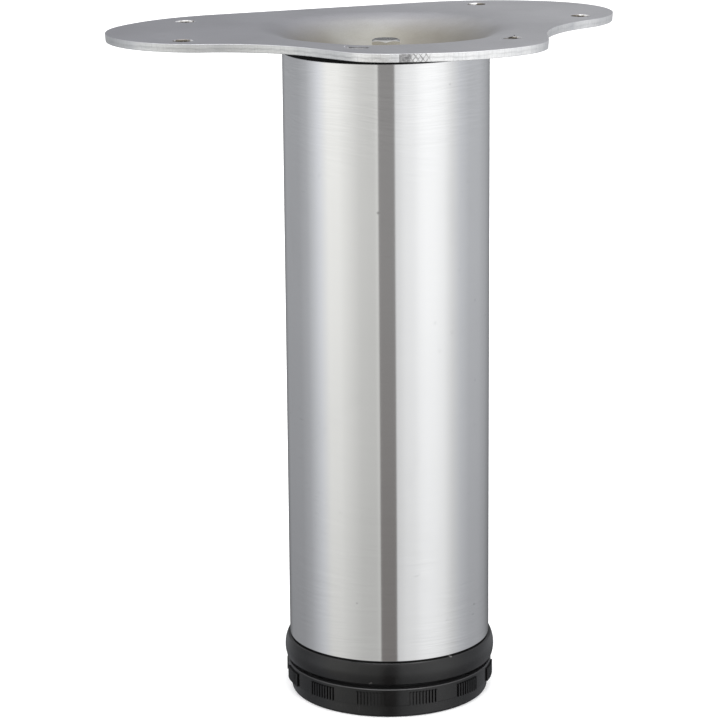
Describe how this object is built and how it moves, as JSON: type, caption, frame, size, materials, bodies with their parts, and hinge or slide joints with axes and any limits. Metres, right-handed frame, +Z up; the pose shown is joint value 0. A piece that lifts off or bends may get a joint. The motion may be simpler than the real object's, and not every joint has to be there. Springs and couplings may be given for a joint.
{
  "type": "furniture leveling foot",
  "caption": "Round chromed steel furniture leg with a stamped screw-on mounting plate above and a black screw-adjusted leveling foot below.",
  "frame": {"origin": "centre of the glide pad's floor face, on the tube's axis, with the foot screwed fully in", "axes": "+Z up along the tube's axis; +Y towards the mounting plate's straight back edge, so the plate's narrow lobe faces -Y"},
  "size_m": [0.1564, 0.105, 0.2],
  "materials": {
    "plate_steel": "satin bright-plated sheet with sheared edges",
    "zinc_steel": "bright zinc plated",
    "tube_chrome": "satin chrome, fine brushing round the tube",
    "bridge_steel": "plain pressed steel",
    "black_plastic": "black moulded plastic with a low sheen",
    "glide_plastic": "black moulded plastic, slightly softer"
  },
  "bodies": {
    "leg": {"mounting_plate": "plate_steel", "plate_bolt": "zinc_steel", "spring_washer": "zinc_steel", "bolt_washer": "zinc_steel", "top_plug": "black_plastic", "leg_tube": "tube_chrome", "tube_bridge": "bridge_steel", "bridge_nut": "zinc_steel", "foot_collar": "black_plastic"},
    "glide": {"glide_pad": "glide_plastic", "pad_clip": "zinc_steel"},
    "screw_foot": {"adjuster": "black_plastic"}
  },
  "joints": [
    {"name": "height_travel", "type": "slide", "parent": "leg", "child": "glide", "axis": [0, 0, -1], "range_m": [0, 0.02]},
    {"name": "adjuster_turn", "type": "hinge", "parent": "glide", "child": "screw_foot", "pos_m": [0, 0, 0.01], "axis": [0, 0, -1], "range_deg": [0, 1800.1]}
  ],
  "couplings": [
    {"joint": "adjuster_turn", "follows": "height_travel", "rad_per_m": 1570.8}
  ]
}
